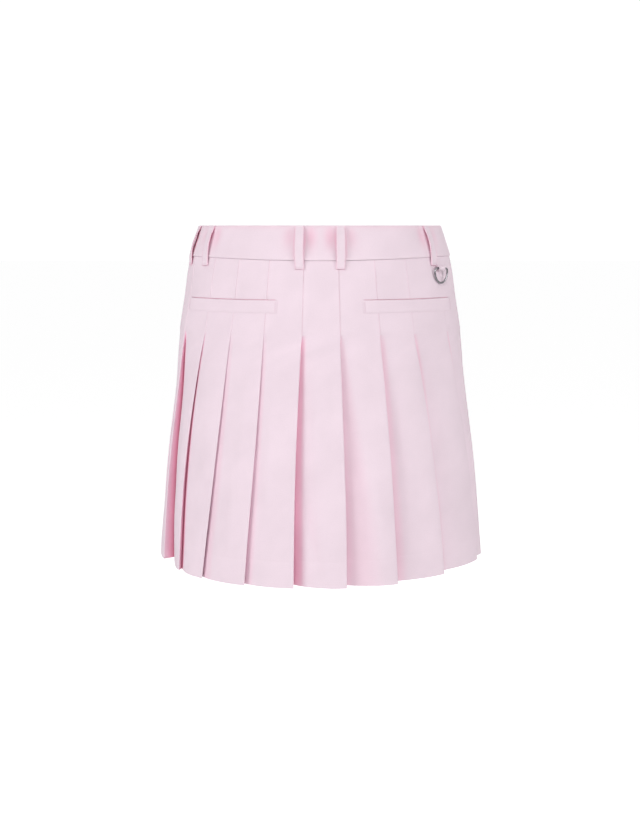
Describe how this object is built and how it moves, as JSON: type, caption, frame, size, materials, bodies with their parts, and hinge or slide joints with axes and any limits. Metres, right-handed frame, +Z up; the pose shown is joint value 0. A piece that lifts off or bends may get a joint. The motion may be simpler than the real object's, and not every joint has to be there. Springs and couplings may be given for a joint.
{
  "type": "skort",
  "caption": "Short pleated skort, hollow as if worn: waistband with belt loops, smooth yoke with two welt pockets, open knife pleats to the hem, plain shorts inside and a small hinged D-ring.",
  "frame": {"origin": "centre of the waist, in the plane of the waistband top edge, where the wearer holds the garment up", "axes": "+Z up out of the waist; -Y is the back of the garment, which the picture shows; +X is the wearer's right"},
  "size_m": [0.3591, 0.3013, 0.368],
  "materials": {
    "twill": "fine matt pale pink twill, pressed pleats",
    "metal": "polished silver-coloured metal",
    "button": "pale shell-like button"
  },
  "bodies": {
    "garment": {"belt_loop_back_left": "twill", "belt_loop_back_right": "twill", "belt_loop_front_left": "twill", "belt_loop_front_right": "twill", "belt_loop_side_back_left": "twill", "belt_loop_side_back_right": "twill", "belt_loop_side_left": "twill", "belt_loop_side_right": "twill", "fly_placket": "twill", "pocket_welt_left": "twill", "pocket_welt_right": "twill", "ring_tab": "twill", "shorts_back_left": "twill", "shorts_back_right": "twill", "shorts_front_left": "twill", "shorts_front_right": "twill", "skirt_back_left": "twill", "skirt_back_right": "twill", "skirt_front_left": "twill", "skirt_front_right": "twill", "waist_button": "button", "waistband_back": "twill", "waistband_front_left": "twill", "waistband_front_right": "twill"},
    "ring": {"d_ring": "metal"}
  },
  "joints": [
    {"name": "ring_swing", "type": "hinge", "parent": "garment", "child": "ring", "pos_m": [0.12982, -0.05445, -0.0457], "axis": [-0.766, -0.6428, 0], "range_deg": [0, 100]}
  ]
}
